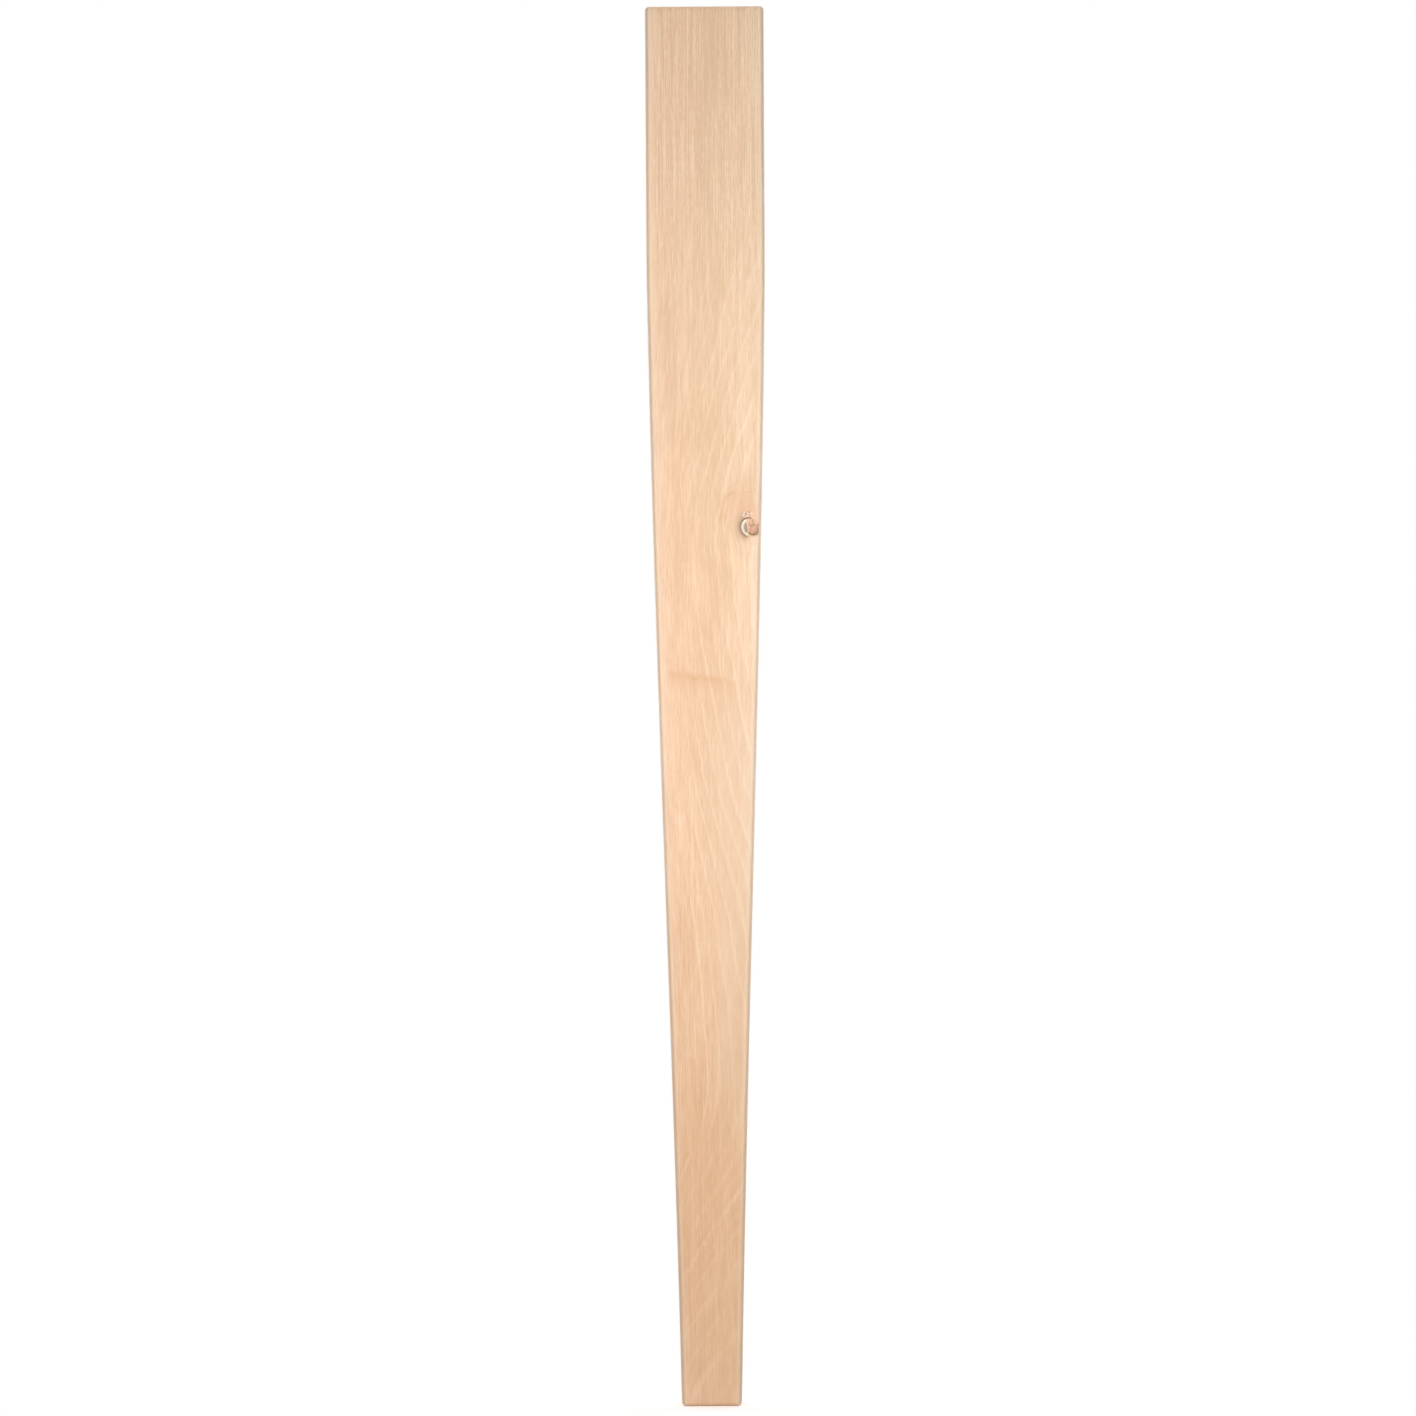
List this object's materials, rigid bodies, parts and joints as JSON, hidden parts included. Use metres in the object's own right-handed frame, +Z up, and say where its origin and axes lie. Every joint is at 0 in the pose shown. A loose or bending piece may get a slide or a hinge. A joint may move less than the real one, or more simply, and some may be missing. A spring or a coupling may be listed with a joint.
{
  "type": "table leg",
  "caption": "Square tapered table leg in solid pale wood, with a straight head that takes the table rails, softly rounded edges and a small cracked knot in its front face.",
  "frame": {"origin": "centre of the foot's underside, on the floor", "axes": "+Z up along the leg from foot to head, -Y out of the front face that holds the knot, +X to the right as seen from the front"},
  "size_m": [0.06, 0.06, 0.71],
  "materials": {
    "wood": "pale close-grained hardwood, sanded smooth, no varnish"
  },
  "bodies": {
    "root": {"leg": "wood"}
  },
  "joints": []
}
